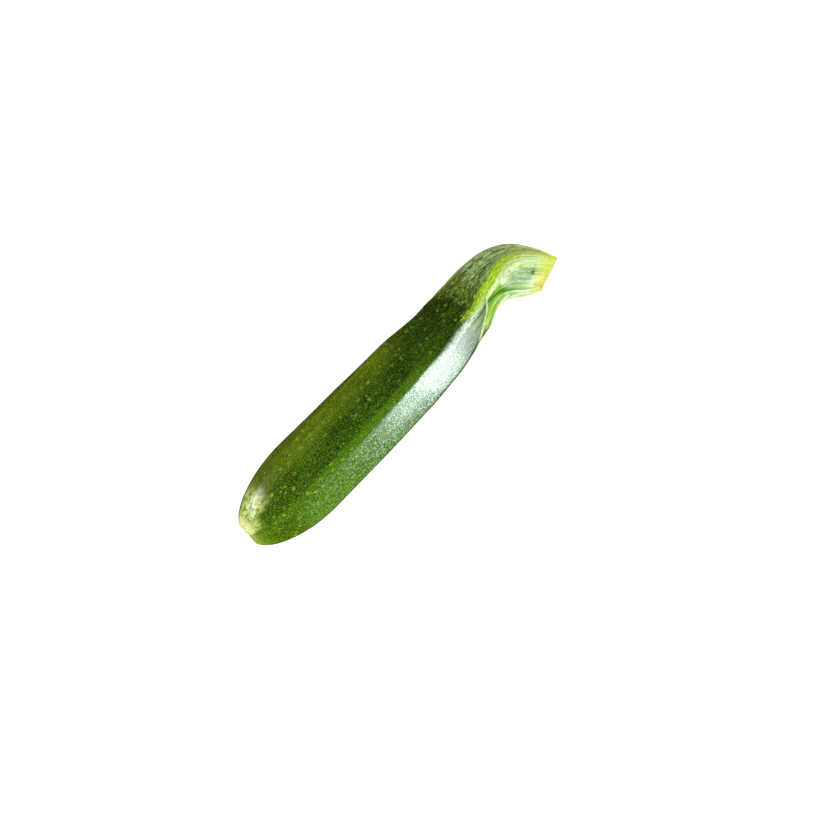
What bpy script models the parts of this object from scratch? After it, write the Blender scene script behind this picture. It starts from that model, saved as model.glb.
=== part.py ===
"""A courgette lying on its side: the five-sided fruit and its curved, cut stem.

Metres, +Z up. X runs from the blossom end to the cut end of the stem, which bends
toward -Y. The origin is on the table, under the middle of the whole courgette.
Both pieces are lofts along one curved line, so a place on them is a distance along
that line and an angle around it, counted from the +Y side over the top. A turn is an
angle counted from the rib that runs along the top.
"""

import math

import bmesh
import bpy
import numpy as np

FRUIT_LENGTH = 0.158        # along the centre line, from the blossom scar to the stem
STEM_LENGTH = 0.0548        # along the centre line, from the fruit to the cut
BODY_HALF_WIDTH = 0.0216    # the thickest part of the fruit
NOSE_LENGTH = 0.042         # the rounded blossom end
SCAR_HALF_WIDTH = 0.0055    # the flat left by the flower
JOIN_GAP = 0.0003           # between the fruit and its stem, so the solids stay apart

NOSE_FULLNESS = 1.235       # 1 makes the nose elliptical, more makes it slimmer
NOSE_RISE = 0.95            # how far the nose lifts off the table as it narrows
REST_DEPTH = 0.0008         # how deep the belly is pressed flat where it lies
CUT_SLANT = math.radians(24.4)
CUT_SLANT_REACH = 0.016     # the stretch of stem over which the slant builds up

LENGTH = FRUIT_LENGTH + STEM_LENGTH

# Pairs of distance along the centre line and value, each joined by a smooth curve.
HEADINGS = [
    (0.000, math.radians(0.8)),
    (0.030, math.radians(4.0)),
    (0.080, math.radians(4.5)),
    (0.125, math.radians(5.0)),
    (0.150, math.radians(15.0)),
    (0.165, math.radians(15.1)),
    (0.177, math.radians(3.5)),
    (0.190, math.radians(-26.8)),
    (0.199, math.radians(-47.3)),
    (LENGTH, math.radians(-44.4)),
]
HALF_WIDTHS = [
    (NOSE_LENGTH, BODY_HALF_WIDTH),
    (0.080, 0.0213),
    (0.110, 0.0204),
    (0.130, 0.0187),
    (0.145, 0.0172),
    (FRUIT_LENGTH, 0.0165),
    (0.170, 0.0151),
    (0.180, 0.0143),
    (0.191, 0.0144),
    (0.203, 0.0131),
    (LENGTH, 0.0099),
]
UNDERSIDES = [(0.0, 0.0), (0.130, 0.0), (FRUIT_LENGTH, 0.0012), (0.182, 0.0022), (LENGTH, 0.0060)]

# The ribs, round from the one along the top. That one starts at the base angle and swings
# aside on the stem, where its neighbours follow it less and less.
RIB_TURNS = [math.radians(0), math.radians(52), math.radians(120), math.radians(192), math.radians(290)]
BASE_ANGLES = [(0.0, math.radians(124)), (0.150, math.radians(114)), (LENGTH, math.radians(112))]
SWINGS = [
    (0.162, math.radians(0)),
    (0.170, math.radians(-5)),
    (0.180, math.radians(-14)),
    (0.190, math.radians(-32)),
    (0.200, math.radians(-48)),
    (LENGTH, math.radians(-62)),
]
SWING_REACH = math.radians(75)

FACET_CREASE = 30               # a high number keeps the edges between the sides crisp
FACET_SIZE = 1.14               # makes the five-sided outline about as wide as the round one
FACET_SHARES = [(0.0, 0.05), (0.030, 0.16), (0.080, 0.38), (0.115, 0.64), (0.150, 0.72), (LENGTH, 0.72)]
STEM_START = 0.142              # from here to the next place the five sides give way to the
STEM_SETTLED = 0.170            # humps and furrows of the stem
RIB_HEIGHTS = [(0.140, 0.0), (FRUIT_LENGTH, 0.045), (0.172, 0.085), (0.200, 0.090), (LENGTH, 0.075)]
MEAN_HUMP = 0.2
# Each hump or furrow of the stem: turn in degrees, width in degrees, height.
STEM_HUMPS = [
    (0, 12, 0.75), (-19, 8, -0.35), (-45, 20, -0.10), (-70, 9, 0.80),
    (19, 9, 0.40), (33, 5, -0.40), (45, 6, 0.30), (68, 5, -0.25), (80, 7, 0.60),
    (104, 7, 0.55), (122, 9, 0.95), (158, 14, -0.20), (192, 10, 1.00),
    (214, 7, -0.20), (240, 12, 0.25), (262, 8, -0.25),
]
STRAIGHT_FROM = math.radians(9)     # beyond these turns the stem's humps no longer swing with
STRAIGHT_BEYOND = math.radians(26)  # the top rib, but run straight on along the stem

FRUIT_SIDES = 90
STEM_SIDES = 120
NOSE_RINGS = 12
BODY_RINGS = 28
STEM_RINGS = 28
CENTRE_LINE_STEPS = 2000
SMOOTH_ANGLE = math.radians(40)

SKIN_GREEN = (0.045, 0.115, 0.012, 1.0)
STEM_GREEN = (0.30, 0.42, 0.10, 1.0)


def smooth_curve(points, places):
    """Reads a curve through the points that never swings past one of them."""
    along, value = np.array(points).T
    steps = np.diff(along)
    rises = np.diff(value) / steps
    slopes = np.concatenate([rises[:1], np.zeros(len(along) - 2), rises[-1:]])
    for i in range(1, len(along) - 1):
        if rises[i - 1] * rises[i] > 0:
            slopes[i] = 2 * rises[i - 1] * rises[i] / (rises[i - 1] + rises[i])
    places = np.clip(places, along[0], along[-1])
    span = np.clip(np.searchsorted(along, places) - 1, 0, len(steps) - 1)
    t = (places - along[span]) / steps[span]
    start = value[span] * (1 + 2 * t) * (1 - t) ** 2 + steps[span] * slopes[span] * t * (1 - t) ** 2
    end = value[span + 1] * t * t * (3 - 2 * t) + steps[span] * slopes[span + 1] * t * t * (t - 1)
    return start + end


def smooth_step(low, high, values):
    t = np.clip((values - low) / (high - low), 0, 1)
    return t * t * (3 - 2 * t)


def centre_line(places):
    """Follows the headings in plan, then turns the line so that its ends lie along X."""
    steps = np.linspace(0, LENGTH, CENTRE_LINE_STEPS)
    turns = smooth_curve(HEADINGS, steps)
    middles = (turns[1:] + turns[:-1]) / 2
    x = np.concatenate([[0], np.cumsum(np.cos(middles) * np.diff(steps))])
    y = np.concatenate([[0], np.cumsum(np.sin(middles) * np.diff(steps))])
    tilt = math.atan2(y[-1], x[-1])
    level_x = x * math.cos(tilt) + y * math.sin(tilt)
    level_y = y * math.cos(tilt) - x * math.sin(tilt)
    heading = smooth_curve(HEADINGS, places) - tilt
    return np.interp(places, steps, level_x), np.interp(places, steps, level_y), heading


def half_width(places):
    """Half the width across the line: a rounded nose, then the body and the stem."""
    nose_turn = np.arccos(np.clip(1 - places / NOSE_LENGTH, 0, 1))
    nose = (BODY_HALF_WIDTH - SCAR_HALF_WIDTH) * np.sin(nose_turn) ** NOSE_FULLNESS
    return np.where(places < NOSE_LENGTH, SCAR_HALF_WIDTH + nose, smooth_curve(HALF_WIDTHS, places))


def turns_round(base, swing, angles):
    """Turns at the given angles, where the top rib stands at base and has swung aside."""
    turn = np.linspace(-math.pi, math.pi, 721)
    spread = base + turn + swing * np.exp(-(turn / SWING_REACH) ** 2)
    return np.interp((angles - spread[0]) % math.tau + spread[0], spread, turn)


def straightened(base, angles, turn):
    """Turns of the stem's humps, which away from the top rib don't swing with it."""
    straight = (angles - base + math.pi) % math.tau - math.pi
    beside = smooth_step(STRAIGHT_FROM, STRAIGHT_BEYOND, np.abs(turn))
    return turn + (straight - turn) * beside * (np.abs(straight - turn) < 2)


def facet_outline(turn):
    """A five-sided outline with slightly rounded corners at the ribs."""
    total = 0
    for here, there in zip(RIB_TURNS, RIB_TURNS[1:] + [RIB_TURNS[0] + math.tau]):
        middle = (here + there) / 2
        half = (there - here) / 2
        total = total + (np.maximum(np.cos(turn - middle), 0) / math.cos(half)) ** FACET_CREASE
    return FACET_SIZE * total ** (-1 / FACET_CREASE)


def hump_relief(turn):
    total = np.zeros_like(turn)
    for place, width, height in STEM_HUMPS:
        away = (turn - math.radians(place) + math.pi) % math.tau - math.pi
        total = total + height * np.exp(-(away / math.radians(width)) ** 2)
    return total - MEAN_HUMP


def section(angles, place):
    """The outline at a place, one unit wide to each side of its middle."""
    base, swing = smooth_curve(BASE_ANGLES, [place])[0], smooth_curve(SWINGS, [place])[0]
    turn = turns_round(base, swing, angles)
    five_sided = smooth_curve(FACET_SHARES, [place])[0] * (1 - smooth_step(STEM_START, STEM_SETTLED, place))
    relief = hump_relief(straightened(base, angles, turn))
    radius = 1 + five_sided * (facet_outline(turn) - 1) + smooth_curve(RIB_HEIGHTS, [place])[0] * relief
    across = radius * np.cos(angles)
    upward = radius * np.sin(angles)
    unit = (across.max() - across.min()) / 2
    across = across - (across.max() + across.min()) / 2
    return across / unit, (upward - upward.min()) / unit


def rings(places, sides):
    """The loft's sections at the given places, as rows of points."""
    x, y, heading = centre_line(places)
    width = half_width(places)
    slant = CUT_SLANT * np.clip((places - LENGTH + CUT_SLANT_REACH) / CUT_SLANT_REACH, 0, 1) ** 1.5
    across_turn = heading - slant + math.pi / 2
    nose_lift = np.where(places < NOSE_LENGTH, NOSE_RISE * (BODY_HALF_WIDTH - width), 0)
    underside = smooth_curve(UNDERSIDES, places) + nose_lift - REST_DEPTH
    angles = np.arange(sides) * math.tau / sides
    rows = []
    for i, place in enumerate(places):
        across, upward = section(angles, place)
        row_x = x[i] + width[i] * across * math.cos(across_turn[i])
        row_y = y[i] + width[i] * across * math.sin(across_turn[i])
        row_z = np.maximum(underside[i] + width[i] * upward, 0)
        rows.append(np.stack([row_x, row_y, row_z], axis=1))
    return np.array(rows)


def fruit_rings():
    nose_turns = np.linspace(0, math.pi / 2, NOSE_RINGS + 1)
    nose = NOSE_LENGTH * (1 - np.cos(nose_turns))
    body = np.linspace(NOSE_LENGTH, FRUIT_LENGTH, BODY_RINGS + 1)[1:]
    return rings(np.concatenate([nose, body]), FRUIT_SIDES)


def stem_rings():
    return rings(np.linspace(FRUIT_LENGTH + JOIN_GAP, LENGTH, STEM_RINGS), STEM_SIDES)


def make_material(name, colour, roughness):
    material = bpy.data.materials.new(name)
    material.use_nodes = True
    shader = material.node_tree.nodes["Principled BSDF"]
    shader.inputs["Base Color"].default_value = colour
    shader.inputs["Roughness"].default_value = roughness
    shader.inputs["Metallic"].default_value = 0.0
    return material


def loft(name, rows, material, collection):
    """Skins the rings and closes both ends with a flat cap."""
    mesh = bpy.data.meshes.new(name)
    shape = bmesh.new()
    loops = [[shape.verts.new(point) for point in row] for row in rows]
    for near, far in zip(loops[:-1], loops[1:]):
        for i in range(len(near)):
            shape.faces.new([near[i - 1], near[i], far[i], far[i - 1]])
    shape.faces.new(loops[0])
    shape.faces.new(loops[-1])
    bmesh.ops.recalc_face_normals(shape, faces=shape.faces)
    shape.to_mesh(mesh)
    shape.free()
    mesh.shade_smooth()
    mesh.set_sharp_from_angle(angle=SMOOTH_ANGLE)
    mesh.materials.append(material)
    piece = bpy.data.objects.new(name, mesh)
    collection.objects.link(piece)
    return piece


def main():
    for old in list(bpy.data.objects):
        bpy.data.objects.remove(old)
    collection = bpy.data.collections.new("courgette")
    bpy.context.scene.collection.children.link(collection)

    fruit = fruit_rings()
    stem = stem_rings()
    points = np.concatenate([fruit.reshape(-1, 3), stem.reshape(-1, 3)])
    middle = (points.min(axis=0) + points.max(axis=0)) / 2
    middle[2] = 0
    loft("fruit", fruit - middle, make_material("fruit_skin", SKIN_GREEN, 0.33), collection)
    loft("stem", stem - middle, make_material("stem_skin", STEM_GREEN, 0.50), collection)


main()
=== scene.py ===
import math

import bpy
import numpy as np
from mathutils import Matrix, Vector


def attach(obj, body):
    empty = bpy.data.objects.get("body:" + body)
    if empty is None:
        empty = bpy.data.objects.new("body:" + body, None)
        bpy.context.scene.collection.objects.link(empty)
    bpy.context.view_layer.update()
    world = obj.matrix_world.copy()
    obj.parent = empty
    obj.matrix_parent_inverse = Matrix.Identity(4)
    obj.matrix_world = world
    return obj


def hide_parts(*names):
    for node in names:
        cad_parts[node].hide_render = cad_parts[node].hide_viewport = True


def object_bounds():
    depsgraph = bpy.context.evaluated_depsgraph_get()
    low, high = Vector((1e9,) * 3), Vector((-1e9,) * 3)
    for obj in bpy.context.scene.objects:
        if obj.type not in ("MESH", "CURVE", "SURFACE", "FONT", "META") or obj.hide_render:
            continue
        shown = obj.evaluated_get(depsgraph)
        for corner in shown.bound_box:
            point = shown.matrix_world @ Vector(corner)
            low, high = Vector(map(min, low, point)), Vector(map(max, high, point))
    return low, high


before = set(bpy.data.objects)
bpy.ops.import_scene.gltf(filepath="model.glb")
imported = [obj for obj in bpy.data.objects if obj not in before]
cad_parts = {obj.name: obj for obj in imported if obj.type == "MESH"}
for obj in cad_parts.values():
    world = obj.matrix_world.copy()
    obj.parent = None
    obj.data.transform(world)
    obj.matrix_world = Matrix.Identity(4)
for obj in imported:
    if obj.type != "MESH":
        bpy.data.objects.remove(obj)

# The looks of a courgette that lies on its side. Both visible pieces are cut from one
# form, which follows the CAD: rings of skin strung along a curved centre line. A place
# on the skin is a distance along that line, from the blossom end, and an angle around
# it, counted from the +Y side over the top. All lengths are in metres.

cad_low, cad_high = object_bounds()

# ---------------------------------------------------------------- the form's dimensions

FRUIT_LENGTH = 0.158            # the two pieces meet here
LENGTH = 0.2133
BODY_HALF_WIDTH = 0.0216
NOSE_LENGTH = 0.042
SCAR_HALF_WIDTH = 0.0055
SCAR_DISH = 0.0007              # how deep the blossom scar is dished
SCAR_NUB = 0.0005               # how high the nub in its middle stands
NOSE_FULLNESS = 1.235           # 1 is a round nose, a higher number a more pointed one
NOSE_RISE = 0.95                # at 1 the middle of the nose is level with the body's
REST_DEPTH = 0.0008             # how far the belly is flattened where it rests
CUT_SLANT = math.radians(24.4)  # how far the cut leans from square
CUT_SLANT_REACH = 0.016         # the rings before it come to lean over this length
CUT_ROUNDING = 0.0006
CUT_DISH = 0.0007

# Each list pairs a distance along the centre line with a value; smooth curves join them.
HEADINGS = [
    (0.000, math.radians(0.8)),
    (0.030, math.radians(4.0)),
    (0.080, math.radians(4.2)),
    (0.125, math.radians(3.8)),
    (0.150, math.radians(16.3)),
    (0.165, math.radians(16.2)),
    (0.177, math.radians(3.5)),
    (0.190, math.radians(-26.8)),
    (0.199, math.radians(-47.3)),
    (LENGTH, math.radians(-44.4)),
]
HALF_WIDTHS = [
    (NOSE_LENGTH, BODY_HALF_WIDTH),
    (0.080, 0.0213),
    (0.110, 0.0204),
    (0.130, 0.0187),
    (0.145, 0.0172),
    (FRUIT_LENGTH, 0.0165),
    (0.170, 0.0151),
    (0.180, 0.0143),
    (0.191, 0.0144),
    (0.203, 0.0131),
    (LENGTH, 0.0099),
]
UNDERSIDES = [
    (0.000, 0.0),
    (0.130, 0.0),
    (FRUIT_LENGTH, 0.0012),
    (0.182, 0.0022),
    (LENGTH, 0.0060),
]

# The ribs, counted round from the one along the top. That one runs along the base angles
# and swings aside on the stem; the others follow it less, the further round they are.
RIB_TURNS = [math.radians(turn) for turn in (0, 52, 120, 192, 290)]
BASE_ANGLES = [
    (0.000, math.radians(124)),
    (0.080, math.radians(117.5)),
    (0.105, math.radians(115.5)),
    (0.125, math.radians(111.5)),
    (0.150, math.radians(110.0)),
    (0.165, math.radians(113.0)),
    (LENGTH, math.radians(112)),
]
SWINGS = [
    (0.162, math.radians(0)),
    (0.170, math.radians(-5)),
    (0.180, math.radians(-14)),
    (0.190, math.radians(-32)),
    (0.200, math.radians(-48)),
    (LENGTH, math.radians(-62)),
]
SWING_REACH = math.radians(75)
FACET_CREASE = 30               # a high number keeps the fruit's edges crisp
FACET_SIZE = 1.14               # the five-sided section against the round one

# How far the section is five-sided and not round, and how high the stem's humps stand.
FACET_SHARES = [
    (0.000, 0.05),
    (0.030, 0.16),
    (0.080, 0.38),
    (0.115, 0.64),
    (0.150, 0.72),
    (LENGTH, 0.72),
]
RIB_HEIGHTS = [
    (0.000, 0.0),
    (0.140, 0.0),
    (FRUIT_LENGTH, 0.045),
    (0.172, 0.085),
    (0.200, 0.090),
    (LENGTH, 0.075),
]

# Humps and furrows of the stem, round from the top rib: turn in degrees, width, height.
STEM_HUMPS = [
    (0, 12, 0.75), (-19, 8, -0.35), (-45, 20, -0.10), (-70, 9, 0.80),
    (19, 9, 0.40), (33, 5, -0.40), (45, 6, 0.30), (57, 5, 0.10), (68, 5, -0.25), (80, 7, 0.60),
    (92, 5, -0.10), (104, 7, 0.55), (122, 9, 0.95), (158, 14, -0.20), (192, 10, 1.00),
    (214, 7, -0.20), (240, 12, 0.25), (262, 8, -0.25),
]
MEAN_HUMP = 0.2

# Where the stem's skin begins, round from the top rib: turn in degrees, place in millimetres.
BORDER = [
    (-180, 156), (-120, 157), (-70, 154), (-60, 158.5), (-14, 159.5), (-8, 152), (4, 152), (9, 167),
    (13, 169.5), (30, 160.5), (52, 149), (60, 147), (90, 156), (120, 152), (150, 157), (180, 156),
]

# Streaks fewer degrees from the top rib than the first number swing with it, and beyond
# the second they run straight on. All are drawn as if the stem were a tube of one width.
STRAIGHT_FROM = 9
STRAIGHT_BEYOND = 26
TUBE_HALF_WIDTH = 0.0155

# Between these places the facets fade out, the tube settles and the fibres grow in.
FACETS_FADE = (0.142, 0.170)
TUBE_SETTLES = (0.145, 0.160)
FIBRES_GROW = (0.150, 0.172)

# How uneven the skin is.
DENT_HEIGHT = 0.00014
RIPPLE_HEIGHT = 0.00002
FIBRE_HEIGHT = 0.000112
FIBRES = 26
PUCKER_HEIGHT = 0.00026
PUCKERS = [(9, 0.5), (14, 0.6), (23, 0.35)]     # how many round the scar, and how strong
EVEN_WITHIN = 0.99              # the unevenness fades within this share of an end's width

SIDES = 320
RING_SPACING = 0.00062
STEM_RING_SPACING = 0.00034


def smooth_curve(points, places):
    """Reads a curve through the points that never swings past one of them."""
    along, value = np.array(points).T
    steps = np.diff(along)
    rises = np.diff(value) / steps
    slopes = np.concatenate([rises[:1], np.zeros(len(along) - 2), rises[-1:]])
    for i in range(1, len(along) - 1):
        if rises[i - 1] * rises[i] > 0:
            slopes[i] = 2 * rises[i - 1] * rises[i] / (rises[i - 1] + rises[i])
    places = np.clip(places, along[0], along[-1])
    span = np.clip(np.searchsorted(along, places) - 1, 0, len(steps) - 1)
    t = (places - along[span]) / steps[span]
    start = value[span] * (1 + 2 * t) * (1 - t) ** 2 + steps[span] * slopes[span] * t * (1 - t) ** 2
    end = value[span + 1] * t * t * (3 - 2 * t) + steps[span] * slopes[span + 1] * t * t * (t - 1)
    return start + end


def smooth_step(low, high, values):
    t = np.clip((values - low) / (high - low), 0, 1)
    return t * t * (3 - 2 * t)


def between(low, high, soft, values):
    """1 from low to high and 0 elsewhere, with soft ends."""
    return smooth_step(low - soft, low + soft, values) * (
        1 - smooth_step(high - soft, high + soft, values))


def centre_line(places):
    """Follows the headings in plan, then turns the line so that its ends lie along X."""
    steps = np.linspace(0, LENGTH, 2000)
    turns = smooth_curve(HEADINGS, steps)
    middles = (turns[1:] + turns[:-1]) / 2
    x = np.concatenate([[0], np.cumsum(np.cos(middles) * np.diff(steps))])
    y = np.concatenate([[0], np.cumsum(np.sin(middles) * np.diff(steps))])
    tilt = math.atan2(y[-1], x[-1])
    level_x = x * math.cos(tilt) + y * math.sin(tilt)
    level_y = y * math.cos(tilt) - x * math.sin(tilt)
    heading = smooth_curve(HEADINGS, places) - tilt
    return np.interp(places, steps, level_x), np.interp(places, steps, level_y), heading


def half_width(places):
    nose_turn = np.arccos(np.clip(1 - places / NOSE_LENGTH, 0, 1))
    nose = (BODY_HALF_WIDTH - SCAR_HALF_WIDTH) * np.sin(nose_turn) ** NOSE_FULLNESS
    return np.where(places < NOSE_LENGTH, SCAR_HALF_WIDTH + nose, smooth_curve(HALF_WIDTHS, places))


def turns_round(places, angles):
    """Angles counted from the top rib, each row of places at its own swing."""
    turn = np.linspace(-math.pi, math.pi, 721)
    pull = np.exp(-(turn / SWING_REACH) ** 2)
    rows = []
    for base, swing in zip(smooth_curve(BASE_ANGLES, places), smooth_curve(SWINGS, places)):
        spread = base + turn + swing * pull
        seen = (angles - spread[0]) % math.tau + spread[0]
        rows.append(np.interp(seen, spread, turn))
    return np.array(rows)


def facet_outline(turn):
    """A five-sided section with slightly rounded corners at the ribs."""
    total = 0
    for here, there in zip(RIB_TURNS, RIB_TURNS[1:] + [RIB_TURNS[0] + math.tau]):
        middle, half = (here + there) / 2, (there - here) / 2
        total = total + (np.maximum(np.cos(turn - middle), 0) / math.cos(half)) ** FACET_CREASE
    return FACET_SIZE * total ** (-1 / FACET_CREASE)


def humps(turn, rows):
    """Adds up rounded humps, each at a turn in degrees, with a width and a height."""
    total = np.zeros_like(turn)
    for place, width, height in rows:
        away = (turn - math.radians(place) + math.pi) % math.tau - math.pi
        total = total + height * np.exp(-(away / math.radians(width)) ** 2)
    return total


def streak_turns(place, theta, turn):
    """Streaks beside the top rib don't swing with it: they run straight on along the stem."""
    base = smooth_curve(BASE_ANGLES, place)
    straight = (theta - base + math.pi) % math.tau - math.pi
    beside = smooth_step(STRAIGHT_FROM, STRAIGHT_BEYOND, np.abs(np.degrees(turn)))
    both_wrapped = np.abs(straight - turn) < 2      # false where only one of them has, at the back
    return turn + (straight - turn) * beside * both_wrapped


def markings(place, turn):
    """The skin's marks, which the materials colour, each from 0 to 1 but for the border.

    A band lies between two turns in degrees, and a reach between two places in
    millimetres. The last number of each says how soft its ends are.
    """
    mm, side = place * 1000, np.degrees(turn)

    def band(low, high, soft):
        return between(low, high, soft, side)

    def reach(low, high, soft):
        return between(low, high, soft, mm)

    def rise(low, high):
        return smooth_step(low, high, mm)

    def fall(low, high):
        return 1 - smooth_step(low, high, mm)

    def line(middle, width):
        return np.exp(-((side - middle) / width) ** 2)

    border = np.interp(side, *zip(*BORDER))
    widen = rise(150, 168)
    lean = rise(172, 195)
    fold = 12 + 40 * np.clip((170 - mm) / 22, 0, 1) ** 0.9
    groove = 25 + 1.5 * (mm - 172)
    pit = np.exp(-((mm - 205.5) / 1.1) ** 2)
    blossom_side = band(-100, -38, 8) * fall(12, 23)
    blossom_top = band(-50, -16, 6) * fall(5, 11)
    return {
        # how far past the border between the skins, in steps of 10 mm, and where it is loose
        "border": (mm - border) / 10,
        "loose": band(-120, -12, 4),
        # the fruit's tints, of which the rim's goes on along the stem
        # the pale blossom end, partly a painted highlight on the side that faces the lamp
        "tip": np.maximum(blossom_side, blossom_top),
        # the olive of the left flank, partly a painted reflection of brownish surroundings
        "olive": band(-80, -46, 13) * reach(18, 114, 22),
        "line": band(-10, 2, 4) * fall(105, 138) * rise(4, 16),
        # a lighter green on the lower facet that faces the window: painted sheen
        "side": band(3, 62, 5) * rise(18, 32) * fall(75, 125),
        # a dull wax bloom beside the top rib, partly a painted sheen where the window shines
        "wax_bloom_and_painted_sheen": band(2, 50, 3) * rise(74, 112) * fall(126, 152),
        # pale streaks at the upper end of the sheen: painted sheen
        "painted_sheen_streaks": band(1, 13, 4) * reach(134, 158, 7),
        "matt": band(3, 78, 6) * fall(60, 106),
        # a lighter rim low on the left side: painted rim light
        "rim": band(-124, -80, 16),
        # the two pale lines that meet at the end of the sheen, partly painted highlights along their
        # ridges, and the painted shade between them
        "seam": line(8, 4.5) * reach(146, 167, 5),
        "fold": line(fold, 2.6) * reach(147, 171, 3),
        "shade": band(16, fold - 4, 4) * reach(150, 166, 5),
        # the stem's lime rib, the hollow on one side of it, partly painted shade, and its pale flank
        # on the other, partly a painted highlight
        "lime": band(-5 - 2 * widen, 1 + 13 * widen, 1.5 + 5.5 * widen) * rise(144, 156)
        * (1 - 0.6 * rise(182, 204)),
        "hollow": band(-27, -13, 4) * reach(160, 186, 6),
        "flank": band(5 + 6 * lean, 18 + 10 * lean, 4) * rise(160, 172),
        # the stem's pale inner side, partly painted light where it faces the window: its green bend, a
        # groove, a dim patch, a pit painted dark as its shade, and a scab
        "inner": band(4, 112, 5) * rise(150, 172),
        "bend": band(20, 58, 6) * reach(156, 184, 6),
        "groove": line(groove, 6) * reach(164, 188, 4),
        "dim": band(26, 52, 6) * reach(190, 207, 5),
        "pit": line(36, 4) * pit,
        "scab": band(34, 74, 8) * reach(207.5, 214, 1.2),
    }


def skin_rings(place, shrink, sink, angles):
    """A grid of rows by angles: its points, the points as if the courgette were straight,
    the masks that the materials read, and the turn that the stem's fibres follow."""
    theta = angles[None, :] + 0 * place
    x, y, heading = centre_line(place)
    width = half_width(place)
    turned = turns_round(place[:, 0], angles)
    fade = 1 - smooth_step(*FACETS_FADE, place)
    flow = streak_turns(place, theta, turned)
    relief = humps(flow, STEM_HUMPS) - MEAN_HUMP
    facets = 1 + smooth_curve(FACET_SHARES, place) * fade * (facet_outline(turned) - 1)
    radius = facets + smooth_curve(RIB_HEIGHTS, place) * relief

    # Each section is centred, and scaled to the half width of its place.
    across = radius * np.cos(theta)
    upward = radius * np.sin(theta)
    unit = (across.max(axis=1) - across.min(axis=1))[:, None] / 2
    lowest = upward.min(axis=1)[:, None]
    across = (across - (across.max(axis=1) + across.min(axis=1))[:, None] / 2) / unit
    upward = (upward - lowest) / unit
    middle_up = -lowest / unit

    slant = CUT_SLANT * np.clip((place - LENGTH + CUT_SLANT_REACH) / CUT_SLANT_REACH, 0, 1) ** 1.5
    turn = heading - slant + math.pi / 2
    nose_lift = np.where(place < NOSE_LENGTH, NOSE_RISE * (BODY_HALF_WIDTH - width), 0)
    underside = smooth_curve(UNDERSIDES, place) + nose_lift - REST_DEPTH
    across = across * shrink
    upward = middle_up + (upward - middle_up) * shrink
    points = np.stack([
        x + width * across * np.cos(turn) + sink * np.cos(turn - math.pi / 2),
        y + width * across * np.sin(turn) + sink * np.sin(turn - math.pi / 2),
        underside + width * upward,
    ], axis=2)
    reel = width + (TUBE_HALF_WIDTH - width) * smooth_step(*TUBE_SETTLES, place)
    unbent = np.stack([
        place + 0 * theta,
        reel * shrink * np.cos(flow),
        reel * shrink * np.sin(flow),
    ], axis=2)
    masks = {
        # from 0 at the blossom end to 1 at the cut, and from 0 on the sides to 1 mid-end
        "along": place / LENGTH + 0 * theta,
        "disc": 1 - shrink + 0 * theta,
        **markings(place + 0 * theta, turned),
    }
    return points, unbent, masks, flow


def grid_normals(points):
    """Outward normals of a grid that closes on itself around each ring."""
    around = np.roll(points, -1, axis=1) - np.roll(points, 1, axis=1)
    along = np.gradient(points, axis=0)
    normals = np.cross(around, along)
    return normals / np.maximum(np.linalg.norm(normals, axis=2, keepdims=True), 1e-12)


def waves(rng, count, place, theta, lengths, turns):
    """Smooth random undulation, about one unit high, from a few crossing waves."""
    total = 0
    for _ in range(count):
        length = rng.uniform(*lengths)
        turn = rng.integers(*turns)
        shift = rng.uniform(0, math.tau, 2)
        total = total + np.sin(math.tau * place / length + shift[0]) * np.sin(turn * theta + shift[1])
    return total / math.sqrt(count)


def weather(points, place, theta, flow, shrink):
    """Moves the skin in and out: dents on the fruit, fibres on the stem, puckers at the scar."""
    rng = np.random.default_rng(11)
    on_stem = smooth_step(*FIBRES_GROW, place)
    dents = DENT_HEIGHT * waves(rng, 14, place, theta, (0.025, 0.09), (1, 6))
    ripples = RIPPLE_HEIGHT * waves(rng, 16, place, theta, (0.008, 0.022), (5, 16))
    fibres = 0
    for _ in range(FIBRES):
        turn = rng.integers(22, 90)
        shift, drift = rng.uniform(0, math.tau, 2)
        sway = 0.9 * np.sin(math.tau * place / rng.uniform(0.03, 0.09) + drift)
        fibres = fibres + np.sin(turn * flow + shift + sway)
    fibres = FIBRE_HEIGHT * fibres / math.sqrt(FIBRES)
    puckers = 0
    for turn, height in PUCKERS:
        shift = rng.uniform(0, math.tau)
        puckers = puckers + height * np.sin(turn * theta + shift + 2.5 * np.sin(2 * theta + shift))
    puckers = PUCKER_HEIGHT * puckers * smooth_step(0.018, 0.002, place)
    outward = dents * smooth_step(0, 0.02, place) + ripples * (1 - on_stem) + fibres * on_stem
    outward = (outward + puckers) * np.where(shrink < EVEN_WITHIN, shrink, 1.0)
    points = points + grid_normals(points) * outward[:, :, None]
    points[:, :, 2] = np.maximum(points[:, :, 2], 0)     # flat where it rests
    return points


# ---------------------------------------------------------------- the rows of rings

def spaced(low, high, spacing):
    """Places from low to high, evenly spaced along the skin and not along the axis."""
    if low < NOSE_LENGTH:
        # finest at the tip, where the width changes fastest
        nose = NOSE_LENGTH * (1 - np.cos(np.linspace(0, math.pi / 2, 3000)))
        fine = np.concatenate([nose, np.linspace(NOSE_LENGTH, high, 2000)[1:]])
    else:
        fine = low + (high - low) * np.linspace(0, 1, 4000)
    steps = np.hypot(np.diff(fine), np.diff(half_width(fine)))
    travelled = np.concatenate([[0], np.cumsum(steps)])
    count = int(round(travelled[-1] / spacing)) + 1
    return np.interp(np.linspace(0, travelled[-1], count), travelled, fine)


def scar_rows():
    """From the middle of the blossom scar out to its rim. As everywhere, a row holds the
    place along the centre line, the share of the width there and a step onward from it."""
    rows = []
    for shrink in np.linspace(0.03, 0.985, 15):
        nub = SCAR_NUB * math.exp(-(shrink / 0.22) ** 2)
        dish = SCAR_DISH * (1 - shrink ** 3)
        rows.append((0.0, shrink, dish - nub))
    return rows


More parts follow.
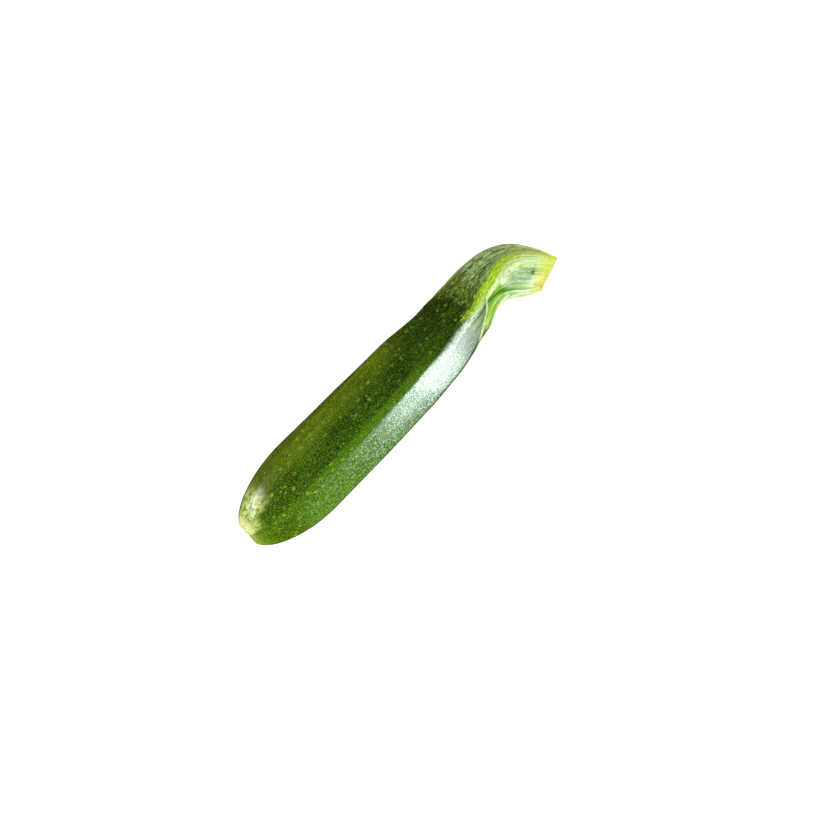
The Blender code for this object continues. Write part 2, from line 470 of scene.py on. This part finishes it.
def cut_rows():
    """Round the rim of the cut and in to its middle, a little hollow."""
    rows = []
    for turn in np.linspace(0, math.pi / 2, 6)[1:]:
        shrink = 1 - CUT_ROUNDING / HALF_WIDTHS[-1][1] * (1 - math.cos(turn))
        rows.append((LENGTH, shrink, CUT_ROUNDING * math.sin(turn)))
    for shrink in np.linspace(rows[-1][1], 0.02, 30)[1:]:
        rows.append((LENGTH, shrink, CUT_ROUNDING - CUT_DISH * (1 - shrink ** 2)))
    return rows


def side_rows(low, high, spacing):
    return [(place, 1.0, 0.0) for place in spaced(low, high, spacing)]


def make_form():
    """The whole skin as one grid, and the number of the ring where the pieces meet."""
    fruit_rows = scar_rows() + side_rows(0.0, FRUIT_LENGTH, RING_SPACING)
    stem_rows = side_rows(FRUIT_LENGTH, LENGTH, STEM_RING_SPACING)[1:] + cut_rows()
    place, shrink, sink = (np.array(column)[:, None] for column in zip(*fruit_rows, *stem_rows))
    angles = np.arange(SIDES) * math.tau / SIDES
    points, unbent, masks, flow = skin_rings(place, shrink, sink, angles)
    plain_low, plain_high = points.min(axis=(0, 1)), points.max(axis=(0, 1))
    points = weather(points, place, angles[None, :], flow, shrink)
    normals = grid_normals(points)

    # The form is centred on the CAD by the box it has before it is weathered.
    middle = (np.array(cad_low) + np.array(cad_high)) / 2 - (plain_low + plain_high) / 2
    middle[2] = cad_low[2]
    return (points + middle, normals, unbent, masks), len(fruit_rows) - 1


def unwrap(mesh, count):
    """Lays the skin of count rings out as a rectangle: round across, along up."""
    layer = mesh.uv_layers.new(name="OFBake")
    corners = np.zeros((len(mesh.loops), 2), np.float32)
    here = np.arange(SIDES) / SIDES
    beside = here + 1 / SIDES
    for row in range(count - 1):
        start = row * SIDES * 4
        block = corners[start:start + SIDES * 4].reshape(SIDES, 4, 2)
        block[:, :, 0] = np.stack([here, beside, beside, here], axis=1)
        block[:, :2, 1] = row / (count - 1)
        block[:, 2:, 1] = (row + 1) / (count - 1)
    layer.data.foreach_set("uv", corners.ravel())


def build_piece(name, form, first, last, material):
    """Skins the rings from first to last, and closes both ends."""
    points, normals, unbent, masks = form
    rows = slice(first, last + 1)
    part = points[rows]
    count = part.shape[0]
    mesh = bpy.data.meshes.new(name)
    column = np.arange(SIDES)
    beside = (column + 1) % SIDES
    starts = (np.arange(count - 1) * SIDES)[:, None]
    quads = np.stack([starts + column, starts + beside, starts + SIDES + beside,
                      starts + SIDES + column], axis=2).reshape(-1, 4)
    caps = [list(column[::-1]), list((count - 1) * SIDES + column)]
    mesh.from_pydata(part.reshape(-1, 3), [], [tuple(q) for q in quads] + caps)
    mesh.materials.append(material)
    mesh.shade_smooth()

    store = mesh.attributes.new("unbent", "FLOAT_VECTOR", "POINT")
    store.data.foreach_set("vector", unbent[rows].astype(np.float32).ravel())
    for key, values in masks.items():
        store = mesh.attributes.new(key, "FLOAT", "POINT")
        store.data.foreach_set("value", values[rows].astype(np.float32).ravel())

    unwrap(mesh, count)
    mesh.normals_split_custom_set_from_vertices(normals[rows].reshape(-1, 3).tolist())

    piece = bpy.data.objects.new(name, mesh)
    bpy.context.scene.collection.objects.link(piece)
    return piece


# ---------------------------------------------------------------- materials

def srgb(red, green, blue):
    """A colour given in the usual 0 to 255 steps, as the linear values Blender uses."""
    linear = []
    for value in (red, green, blue):
        value = value / 255
        linear.append(value / 12.92 if value <= 0.04045 else ((value + 0.055) / 1.055) ** 2.4)
    return (*linear, 1.0)


class Nodes:
    """A short way to write one material's nodes."""

    def __init__(self, name):
        self.material = bpy.data.materials.new(name)
        self.material.use_nodes = True
        self.tree = self.material.node_tree
        self.shader = self.tree.nodes["Principled BSDF"]

    def make(self, kind, values=(), **settings):
        node = self.tree.nodes.new("ShaderNode" + kind)
        for key, setting in settings.items():
            setattr(node, key, setting)
        for key, value in dict(values).items():
            self.feed(node.inputs[key], value)
        return node

    def feed(self, socket, value):
        if isinstance(value, bpy.types.NodeSocket):
            self.tree.links.new(value, socket)
        else:
            socket.default_value = value

    def math(self, operation, *values):
        node = self.tree.nodes.new("ShaderNodeMath")
        node.operation = operation
        for socket, value in zip(node.inputs, values):
            self.feed(socket, value)
        return node.outputs[0]

    def spread(self, value, low, high, to_low=0.0, to_high=1.0):
        """Maps low..high to to_low..to_high with soft ends; low may be the higher of the two."""
        node = self.make("MapRange", {"Value": value, "From Min": low, "From Max": high,
                                      "To Min": to_low, "To Max": to_high},
                         interpolation_type="SMOOTHSTEP")
        return node.outputs[0]

    def blend(self, amount, first, second, mode="MIX"):
        node = self.make("Mix", data_type="RGBA", blend_type=mode)
        self.feed(node.inputs[0], amount)
        self.feed(node.inputs[6], first)
        self.feed(node.inputs[7], second)
        return node.outputs[2]

    def times(self, *values):
        product = values[0]
        for value in values[1:]:
            product = self.math("MULTIPLY", product, value)
        return product

    def tint(self, base, colour, *amounts):
        """Lays a colour over the base, as strongly as the product of the amounts."""
        return self.blend(self.times(*amounts), base, colour)

    def torn(self, mask, noise):
        """Gives a mask ragged edges: noise shifts it by up to 0.8 before it is sharpened."""
        value = self.math("MULTIPLY_ADD", noise, 1.6, self.math("SUBTRACT", mask, 0.8))
        return self.spread(value, 0.25, 0.75)

    def ramp(self, value, stops):
        node = self.make("ValToRGB", {"Fac": value})
        band = node.color_ramp
        while len(band.elements) < len(stops):
            band.elements.new(0.5)
        for element, (position, colour) in zip(band.elements, stops):
            element.position = position
            element.color = colour
        return node.outputs[0]

    def field(self, name, output="Fac"):
        return self.make("Attribute", attribute_name=name).outputs[output]

    def stretch(self, vector, scale):
        node = self.make("VectorMath", operation="MULTIPLY")
        self.feed(node.inputs[0], vector)
        self.feed(node.inputs[1], scale)
        return node.outputs[0]

    def noise(self, vector, scale, detail=3.0, roughness=0.55):
        return self.make("TexNoise", {"Vector": vector, "Scale": scale, "Detail": detail,
                                      "Roughness": roughness}).outputs["Fac"]

    def grain(self, place, draw, scale, detail=3.0, roughness=0.55):
        """Noise drawn out along the courgette: the smaller the draw, the longer its spots."""
        return self.noise(self.stretch(place, (draw, 1, 1)), scale, detail, roughness)


def flecks(n, place, spacing, size, length, share, seed):
    """Long spots, at most one to a cell, in the given share of the cells.

    Each is 0.3 to 1.2 times the size, and covers what is under it by 0.4 to 1.
    """
    moved = n.make("VectorMath", operation="ADD")
    n.feed(moved.inputs[0], n.stretch(place, (1 / length, 1, 1)))
    n.feed(moved.inputs[1], (seed, seed * 0.37, seed * 0.71))
    cells = n.make("TexVoronoi", {"Vector": moved.outputs[0], "Scale": 1 / spacing,
                                  "Randomness": 1.0})
    chance = n.make("SeparateColor", {"Color": cells.outputs["Color"]})
    present = n.math("LESS_THAN", chance.outputs[0], share)
    radius = n.math("MULTIPLY_ADD", chance.outputs[1], 0.9 * size / spacing, 0.3 * size / spacing)
    near = n.math("DIVIDE", cells.outputs["Distance"], radius)
    strength = n.math("MULTIPLY_ADD", chance.outputs[2], 0.6, 0.4)
    return n.times(n.spread(near, 1.0, 0.45), present, strength)


def fleck_layers(n, place):
    """The middling and the large flecks; a little noise in their place makes them ragged."""
    ragged = n.make("VectorMath", operation="MULTIPLY_ADD")
    n.feed(ragged.inputs[0], n.make("TexNoise", {"Vector": place, "Scale": 1150.0}).outputs["Color"])
    n.feed(ragged.inputs[1], (0.0018, 0.0018, 0.0018))
    n.feed(ragged.inputs[2], place)
    middling = flecks(n, ragged.outputs[0], spacing=0.0025, size=0.00084, length=1.7,
                      share=0.68, seed=3.1)
    large = flecks(n, ragged.outputs[0], spacing=0.0062, size=0.00092, length=1.8,
                   share=0.45, seed=7.7)
    return middling, large


def fruit_ground(n, place, along):
    """The fruit's green, from the pale blossom end to the dark neck."""
    streaks = n.grain(place, 0.05, 700, 4.0, 0.6)
    clouds = n.grain(place, 0.35, 110, 4.0, 0.6)
    mottle = n.grain(place, 0.35, 760, 4.0, 0.65)
    ground = n.ramp(along, [
        (0.000, srgb(206, 216, 90)),
        (0.014, srgb(112, 146, 22)),
        (0.050, srgb(62, 98, 6)),
        (0.130, srgb(46, 82, 2)),
        (0.350, srgb(36, 70, 1)),
        (0.600, srgb(32, 58, 2)),
        (0.735, srgb(27, 42, 10)),
    ])
    # The olive of the left flank is partly a painted reflection of brownish surroundings.
    ground = n.tint(ground, srgb(112, 128, 4), n.field("olive"), n.spread(clouds, 0.3, 0.6, 0.5, 1.0))
    # A lighter green on the lower facet that faces the window: painted sheen.
    ground = n.tint(ground, srgb(92, 136, 34), n.field("side"), 0.6)
    ground = n.tint(ground, srgb(92, 140, 6), n.field("line"), n.spread(streaks, 0.35, 0.60, 0.4, 0.8))
    # A lighter rim low on the left side: painted rim light.
    ground = n.tint(ground, srgb(128, 148, 40), n.field("rim"), 0.5)
    darker = n.blend(1.0, ground, srgb(150, 170, 120), "MULTIPLY")
    ground = n.tint(ground, darker, n.spread(streaks, 0.35, 0.70, 0.0, 0.55))
    ground = n.tint(ground, srgb(76, 114, 8), n.spread(clouds, 0.48, 0.75, 0.0, 0.5))

    # The dull wax bloom beside the top rib, partly a painted sheen; the pale tip, partly a painted
    # highlight on the side that faces the lamp; and the ring round the scar, strongest on that side.
    wax_bloom_and_painted_sheen = n.blend(n.spread(streaks, 0.40, 0.62), srgb(96, 132, 84), srgb(140, 172, 128))
    ground = n.tint(ground, wax_bloom_and_painted_sheen, n.field("wax_bloom_and_painted_sheen"), n.spread(clouds, 0.35, 0.60, 0.45, 0.85))
    tip = n.field("tip")
    ground = n.tint(ground, srgb(212, 232, 128), tip, n.spread(mottle, 0.40, 0.58, 0.15, 1.0))
    ring = n.spread(along, 0.026, 0.006)
    return n.tint(ground, srgb(255, 255, 176), ring, n.spread(tip, 0.0, 1.0, 0.1, 1.0))


def flecked(n, ground, place, along, middling, large):
    """Lays dark grains, pale flecks and crumbs of wax over the fruit's ground; the pale crumbs are
    partly painted glints of the sheen.
    """
    grains = n.grain(place, 0.7, 2300, 2.0, 0.7)
    near_tip = n.spread(along, 0.60, 0.04, 0.48, 1.0)
    plain = n.math("SUBTRACT", 1.0, n.field("tip"))
    skin = n.tint(ground, srgb(14, 30, 1), n.spread(grains, 0.50, 0.34), plain, 0.85)
    skin = n.tint(skin, srgb(132, 162, 34), n.spread(grains, 0.53, 0.64), near_tip, 0.80)
    skin = n.tint(skin, srgb(150, 182, 52), middling, near_tip, 0.90)
    # Crumbs where the wax bloom and the painted sheen lie: the pale ones partly painted glints of the
    # sheen.
    wax_and_painted_sheen = n.math("MAXIMUM", n.field("wax_bloom_and_painted_sheen"), n.field("side"))
    crumbs = n.grain(place, 0.8, 1450, 3.0, 0.75)
    wax_and_glints = n.blend(n.spread(along, 0.20, 0.46), srgb(124, 166, 84), srgb(196, 222, 196))
    skin = n.tint(skin, wax_and_glints, wax_and_painted_sheen, n.spread(crumbs, 0.53, 0.61, 0.0, 0.9))
    skin = n.tint(skin, srgb(44, 82, 14), wax_and_painted_sheen, n.spread(crumbs, 0.47, 0.39, 0.0, 0.85))
    return n.tint(skin, srgb(150, 180, 60), large, 0.5)


def stem_colour(n, place, along, fibre, dashes):
    """A grey-green skin with pale dashes, a pale streaked inner side that is partly painted light, and
    a dried rim.
    """
    strands = n.grain(place, 0.035, 420, 4.0, 0.6)
    stalk = n.ramp(along, [
        (0.740, srgb(70, 86, 22)),
        (0.800, srgb(88, 108, 34)),
        (0.855, srgb(126, 150, 76)),
        (0.900, srgb(146, 160, 88)),
        (0.945, srgb(180, 188, 98)),
        (0.990, srgb(212, 220, 84)),
    ])
    stalk = n.tint(stalk, srgb(66, 84, 30), n.spread(strands, 0.47, 0.38, 0.0, 0.7))
    greyer = n.spread(strands, 0.46, 0.56, 0.0, 0.85)
    stalk = n.tint(stalk, srgb(146, 176, 118), greyer, n.spread(along, 0.78, 0.86))
    # The hollow beside the lime rib is darker, partly painted shade.
    stalk = n.tint(stalk, srgb(66, 88, 14), n.field("hollow"), 0.7)
    stalk = n.tint(stalk, srgb(44, 60, 12), n.spread(dashes, 0.48, 0.37, 0.0, 0.85))
    pale = n.blend(n.spread(along, 0.76, 0.84), srgb(146, 168, 78), srgb(198, 214, 148))
    stalk = n.tint(stalk, pale, n.spread(dashes, 0.54, 0.62, 0.0, 0.85))
    # A lighter rim low on the left side: painted rim light.
    stalk = n.tint(stalk, srgb(172, 188, 84), n.field("rim"), n.spread(dashes, 0.35, 0.6, 0.3, 0.65))

    # The pale inner side, partly painted light where it faces the window, its green bend, the flank of
    # the lime rib, partly a painted highlight, and the groove by it.
    inner = n.blend(n.spread(strands, 0.38, 0.56), srgb(152, 192, 106), srgb(218, 238, 188))
    inner = n.tint(inner, srgb(88, 130, 60), n.spread(fibre, 0.50, 0.40, 0.0, 0.75))
    inner = n.tint(inner, srgb(228, 240, 208), n.spread(fibre, 0.53, 0.64, 0.0, 0.75))
    inner = n.tint(inner, srgb(104, 144, 92), n.field("dim"), n.spread(dashes, 0.35, 0.6, 0.85, 0.35))
    stalk = n.tint(stalk, inner, n.torn(n.field("inner"), dashes))
    bend = n.blend(n.spread(fibre, 0.40, 0.66), srgb(96, 146, 16), srgb(164, 196, 88))
    stalk = n.tint(stalk, bend, n.torn(n.field("bend"), dashes))
    flank = n.blend(n.spread(dashes, 0.40, 0.58), srgb(160, 196, 92), srgb(216, 232, 178))
    stalk = n.tint(stalk, flank, n.torn(n.field("flank"), dashes), 0.8)
    stalk = n.tint(stalk, srgb(58, 112, 4), n.field("groove"), 0.95)

    # Towards the cut: a dark pit, painted dark as its shade, the yellow of the dried rim, and a brown
    # scab on it.
    stalk = n.tint(stalk, srgb(58, 62, 26), n.field("pit"), 0.9)
    dried = n.math("ADD", along, n.times(n.math("SUBTRACT", dashes, 0.5), 0.05))
    stalk = n.tint(stalk, srgb(204, 208, 62), n.spread(dried, 0.960, 1.0, 0.0, 0.9))
    crusts = n.spread(n.noise(place, 420, 4.0), 0.42, 0.62, 0.1, 0.6)
    return n.tint(stalk, srgb(176, 140, 50), n.field("scab"), crusts)


def lime_rib(n, place, along):
    """The bright rib that runs from the fruit along the top of the stem."""
    lime = n.ramp(along, [
        (0.700, srgb(96, 124, 36)),
        (0.760, srgb(132, 168, 18)),
        (0.860, srgb(146, 184, 16)),
        (0.930, srgb(164, 182, 54)),
        (1.000, srgb(204, 206, 80)),
    ])
    mottles = n.grain(place, 0.28, 1300, 3.0, 0.6)
    glints = n.grain(place, 0.4, 1300)
    lime = n.tint(lime, srgb(92, 132, 10), n.spread(mottles, 0.50, 0.38, 0.0, 0.6))
    return n.tint(lime, srgb(206, 226, 84), n.spread(glints, 0.53, 0.64, 0.0, 0.65))


def end_faces(n, place, along, disc):
    """The corky blossom scar, and the open cut with its pores, green rim and brown middle."""
    speckle = n.spread(n.noise(place, 1800), 0.35, 0.65)
    scar = n.blend(speckle, srgb(176, 160, 84), srgb(214, 206, 132))
    pith = n.blend(speckle, srgb(176, 190, 96), srgb(206, 212, 128))
    pores = n.make("TexVoronoi", {"Vector": place, "Scale": 620.0}).outputs["Distance"]
    pith = n.tint(pith, srgb(132, 144, 62), n.spread(pores, 0.34, 0.12, 0.0, 0.55))
    pith = n.tint(pith, srgb(140, 168, 62), n.spread(disc, 0.26, 0.12, 0.0, 0.8))
    pith = n.tint(pith, srgb(168, 156, 88), n.spread(disc, 0.74, 0.92, 0.0, 0.75))
    return n.blend(n.math("GREATER_THAN", along, 0.5), scar, pith)


def gloss(n, place, disc, stemness):
    """Shiny on the fruit and duller on the stem, the end faces and the matt parts."""
    polish = n.spread(n.noise(place, 450), 0.3, 0.7, 0.16, 0.26)
    rough = n.math("ADD", polish, n.times(stemness, 0.20))
    rough = n.math("ADD", rough, n.times(n.spread(disc, 0.0, 0.1), 0.25))
    n.feed(n.shader.inputs["Roughness"], rough)
    level = n.spread(n.field("border"), -3.8, -0.6, 0.5, 0.14)
    dull = n.math("MAXIMUM", n.times(n.field("matt"), 0.85), n.field("groove"))
    n.feed(n.shader.inputs["Specular IOR Level"], n.times(level, n.math("SUBTRACT", 1.0, dull)))


def small_bumps(n, place, fibre, middling, stemness):
    """Relief too fine for the mesh: grain, swellings, veins, flecks and fibres."""
    fine = n.noise(place, 1300, 3.0, 0.6)
    swell = n.grain(place, 0.5, 240, 2.0)
    veins = n.math("ABSOLUTE", n.math("SUBTRACT", n.noise(place, 260, 3.0, 0.6), 0.5))
    height = n.times(fine, n.math("MULTIPLY_ADD", n.field("wax_bloom_and_painted_sheen"), 0.3, 0.7))
    height = n.math("ADD", height, n.times(swell, 0.6))
    height = n.math("ADD", height, n.times(n.spread(veins, 0.0, 0.05), 0.16))
    height = n.math("ADD", height, n.times(middling, 0.18))
    height = n.math("ADD", height, n.times(fibre, stemness, 1.2))
    bump = n.make("Bump", {"Height": height, "Strength": 1.0, "Distance": 0.00012})
    n.feed(n.shader.inputs["Normal"], bump.outputs[0])


def make_skin(name):
    """One skin for both pieces: flecked green on the fruit, streaked and ribbed on the stem."""
    n = Nodes(name)
    place = n.field("unbent", "Vector")
    along = n.field("along")
    disc = n.field("disc")
    fibre = n.grain(place, 0.05, 1100, 3.0, 0.6)
    dashes = n.grain(place, 0.30, 1350, 4.0, 0.7)
    middling, large = fleck_layers(n, place)

    # Painted sheen: the sheen's end, beside the top rib, is painted in pale streaks.
    fruit = flecked(n, fruit_ground(n, place, along), place, along, middling, large)
    painted_sheen_streaks = n.spread(dashes, 0.44, 0.60, 0.05, 0.75)
    fruit = n.tint(fruit, srgb(180, 204, 186), n.field("painted_sheen_streaks"), painted_sheen_streaks)

    # The border between the two skins is ragged, and the rib and the pale lines cross it.
    jag = n.math("SUBTRACT", n.grain(place, 0.5, 900, 5.0, 0.7), 0.5)
    looseness = n.math("MULTIPLY_ADD", n.field("loose"), 2.6, 0.8)
    border = n.math("ADD", n.field("border"), n.times(jag, looseness))
    stalk = stem_colour(n, place, along, fibre, dashes)
    colour = n.blend(n.spread(border, -0.14, 0.16), fruit, stalk)
    colour = n.tint(colour, lime_rib(n, place, along), n.torn(n.field("lime"), dashes))
    # Two pale lines, partly painted highlights along their ridges, and the painted shade between them.
    for mark, tone, streaky in (
        ("seam", srgb(188, 208, 164), n.spread(dashes, 0.36, 0.60, 0.35, 1.0)),
        ("shade", srgb(116, 140, 88), n.spread(dashes, 0.4, 0.6, 0.9, 0.5)),
        ("fold", srgb(204, 220, 160), n.spread(dashes, 0.36, 0.56, 0.5, 0.95)),
    ):
        colour = n.tint(colour, tone, n.field(mark), streaky)
    colour = n.tint(colour, end_faces(n, place, along, disc), n.spread(disc, 0.0, 0.07))
    n.feed(n.shader.inputs["Base Color"], colour)

    stemness = n.spread(along, 0.72, 0.80)
    gloss(n, place, disc, stemness)
    small_bumps(n, place, fibre, middling, stemness)
    return n.material


# ---------------------------------------------------------------- the pieces

form, seam = make_form()
last = len(form[0]) - 1
fruit = build_piece("courgette_fruit", form, 0, seam, make_skin("fruit_skin"))
stem = build_piece("courgette_stem", form, seam, last, make_skin("stem_skin"))
for piece, node, slot in ((fruit, "fruit", "fruit_skin"), (stem, "stem", "stem_skin")):
    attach(piece, "root")
    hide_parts(node)


# ---------------------------------------------------------------- floor, light and camera

def add_floor():
    bpy.ops.mesh.primitive_plane_add(size=6)
    floor = bpy.context.object
    floor.name = "floor"
    floor.location.z = cad_low[2]
    material = bpy.data.materials.new("floor_white")
    material.use_nodes = True
    shader = material.node_tree.nodes["Principled BSDF"]
    shader.inputs["Base Color"].default_value = (0.90, 0.90, 0.90, 1)
    shader.inputs["Roughness"].default_value = 0.9
    shader.inputs["Specular IOR Level"].default_value = 0.1
    shader.inputs["Emission Color"].default_value = (1, 1, 1, 1)
    shader.inputs["Emission Strength"].default_value = 0.6
    floor.data.materials.append(material)
    floor.visible_glossy = False
    floor.visible_shadow = False


def direction(azimuth, elevation):
    """Unit vector towards a compass direction in the row frame, counted from +X to +Y."""
    a, e = math.radians(azimuth), math.radians(elevation)
    return Vector((math.cos(a) * math.cos(e), math.sin(a) * math.cos(e), math.sin(e)))


def add_light(name, azimuth, elevation, distance, width, height, power, colour, sheen, wash):
    """A soft box. Sheen and wash say whether it shows in gloss and lights the colour."""
    data = bpy.data.lights.new(name, "AREA")
    data.shape = "RECTANGLE"
    data.size = width
    data.size_y = height
    data.energy = power
    data.color = colour
    light = bpy.data.objects.new(name, data)
    light.location = direction(azimuth, elevation) * distance
    light.rotation_euler = (-light.location).to_track_quat("-Z", "Y").to_euler()
    light.visible_camera = False
    light.visible_glossy = sheen
    light.visible_diffuse = wash
    bpy.context.scene.collection.objects.link(light)


def add_world(strength):
    world = bpy.data.worlds.new("studio")
    world.use_nodes = True
    world.node_tree.nodes["Background"].inputs["Color"].default_value = (1, 1, 1, 1)
    world.node_tree.nodes["Background"].inputs["Strength"].default_value = strength
    world.cycles_visibility.glossy = False
    bpy.context.scene.world = world


def add_camera(azimuth, elevation, lens, frame_width, aim, aside, down):
    """Looks past aim, which it leaves to the left and above the middle of its view."""
    data = bpy.data.cameras.new("camera")
    data.lens = lens
    distance = frame_width * lens / data.sensor_width
    a, e = math.radians(azimuth), math.radians(elevation)
    back = Vector((math.sin(a) * math.cos(e), -math.cos(a) * math.cos(e), math.sin(e)))
    camera = bpy.data.objects.new("camera", data)
    turn = back.to_track_quat("Z", "Y")
    middle = Vector(aim) + turn @ Vector((aside, -down, 0))
    camera.location = middle + back * distance
    camera.rotation_euler = turn.to_euler()
    data.clip_start = 0.01
    bpy.context.scene.collection.objects.link(camera)
    bpy.context.scene.camera = camera


add_floor()
add_world(0.85)
add_light("window", azimuth=-62, elevation=9, distance=1.2, width=0.52, height=0.90,
          power=29, colour=(0.88, 0.96, 1.0), sheen=True, wash=False)
add_light("daylight", azimuth=-60, elevation=40, distance=1.2, width=0.9, height=0.9,
          power=9, colour=(0.94, 0.98, 1.0), sheen=False, wash=True)
add_light("lamp", azimuth=138, elevation=18, distance=1.2, width=0.40, height=0.38,
          power=6.5, colour=(1.0, 0.98, 0.92), sheen=True, wash=False)
add_camera(azimuth=-41.68, elevation=80, lens=85, frame_width=0.4250,
           aim=(0.0, 0.0, 0.0205), aside=0.0093, down=0.0157)
bpy.context.scene.view_settings.view_transform = "Standard"
